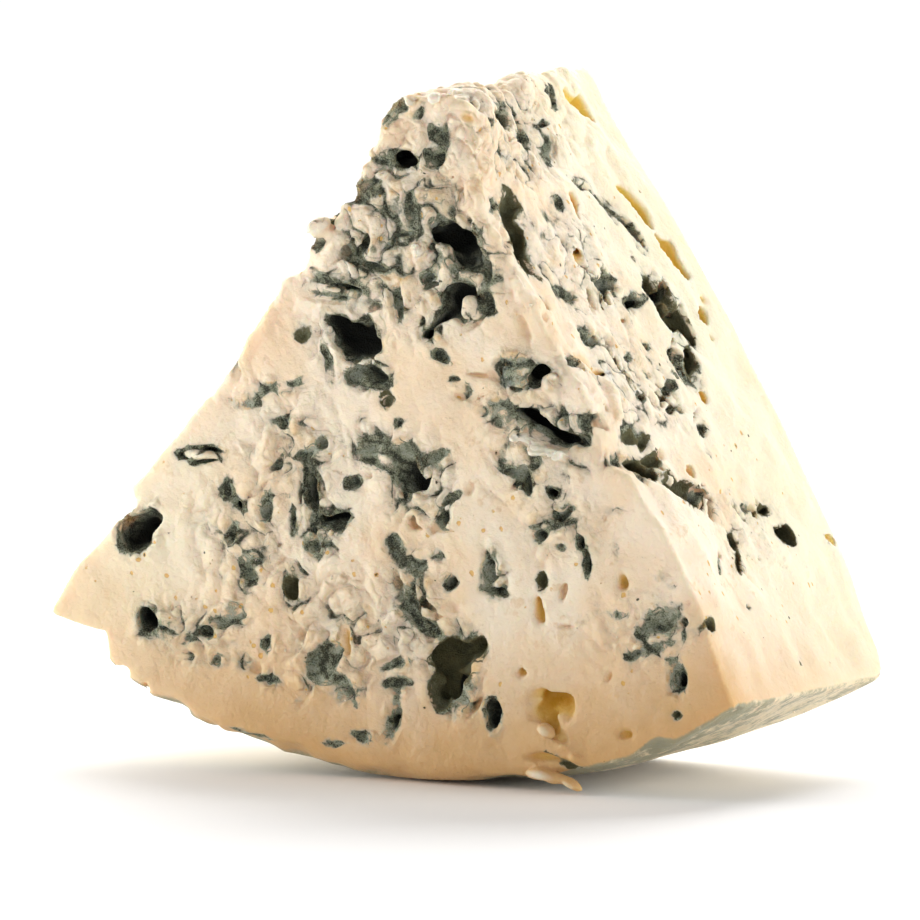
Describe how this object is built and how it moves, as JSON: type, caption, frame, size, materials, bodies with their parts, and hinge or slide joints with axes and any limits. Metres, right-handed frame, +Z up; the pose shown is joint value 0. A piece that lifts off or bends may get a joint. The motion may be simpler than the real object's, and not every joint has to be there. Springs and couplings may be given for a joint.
{
  "type": "blue cheese wedge",
  "caption": "Wedge of blue-veined cheese cut from half of a wheel, standing on its curved rind with the crumbled tip up.",
  "frame": {"origin": "centre of the flat foot that the wedge stands on, under the wheel's axis and halfway through the slice", "axes": "+Z up towards the tip, +Y from the horizontal cut face to the flat rind, +X to the right as seen from the cut face"},
  "size_m": [0.1122, 0.048, 0.0982],
  "materials": {
    "blue_cheese": "moist ivory paste, semi-matte and slightly translucent, with blue-grey mould in its pockets"
  },
  "bodies": {
    "root": {"cheese_wedge": "blue_cheese"}
  },
  "joints": []
}
